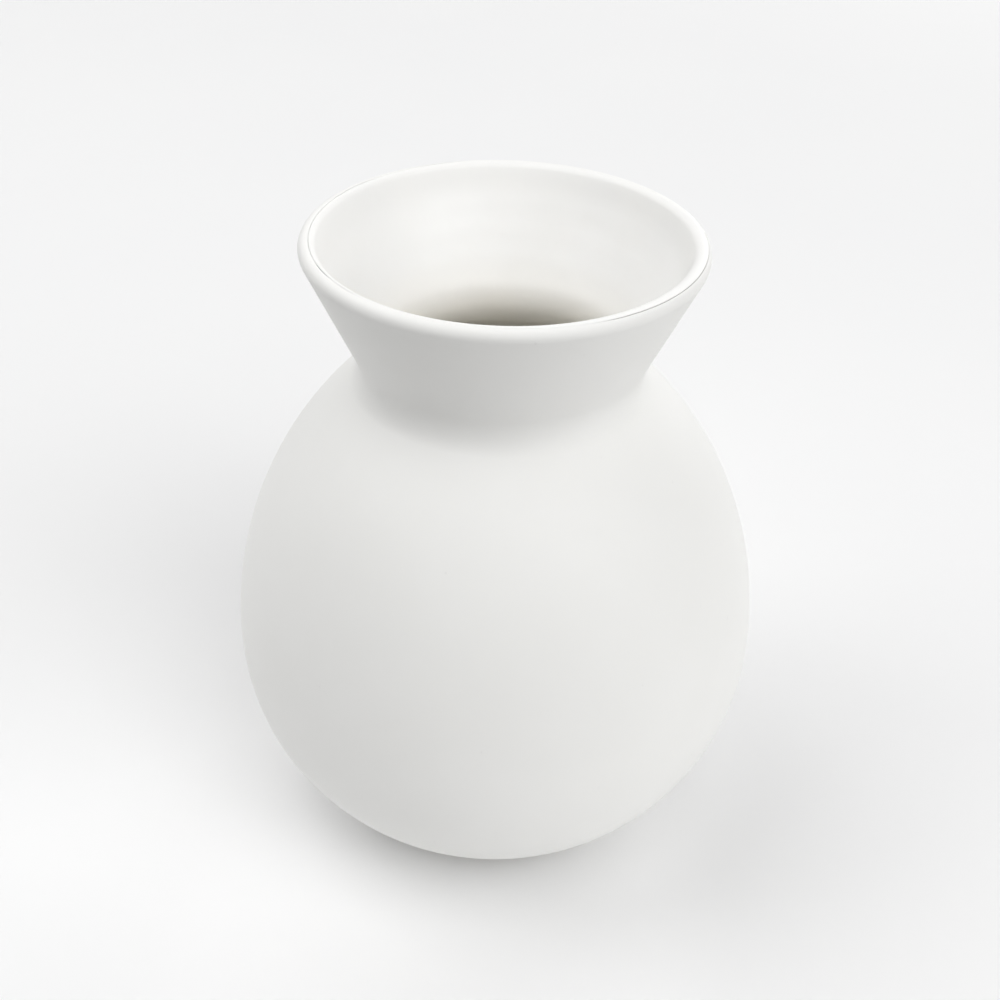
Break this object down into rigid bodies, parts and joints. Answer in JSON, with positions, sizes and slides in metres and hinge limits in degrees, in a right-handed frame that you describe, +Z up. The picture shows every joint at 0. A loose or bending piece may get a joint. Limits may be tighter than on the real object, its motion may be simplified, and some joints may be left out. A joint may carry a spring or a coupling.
{
  "type": "ceramic bud vase",
  "caption": "Round-bellied ceramic bud vase with a narrow waist and a flared, round-lipped mouth, matt white outside, glazed inside, standing on a turned foot ring.",
  "frame": {"origin": "on the vase's axis, at the height of the sole of the foot ring", "axes": "+Z up along the vase's axis of revolution, +X to the right, +Y to the back"},
  "size_m": [0.12, 0.12, 0.1467],
  "materials": {
    "clay": "matte",
    "slip": "matte",
    "matt_glaze": "matte",
    "liner_glaze": "satin"
  },
  "bodies": {
    "root": {"globe": "clay", "neck_collar": "clay", "neck_joint_slip": "slip", "foot_ring": "clay", "foot_joint_slip": "slip", "exterior_glaze": "matt_glaze", "interior_glaze": "liner_glaze"}
  },
  "joints": []
}
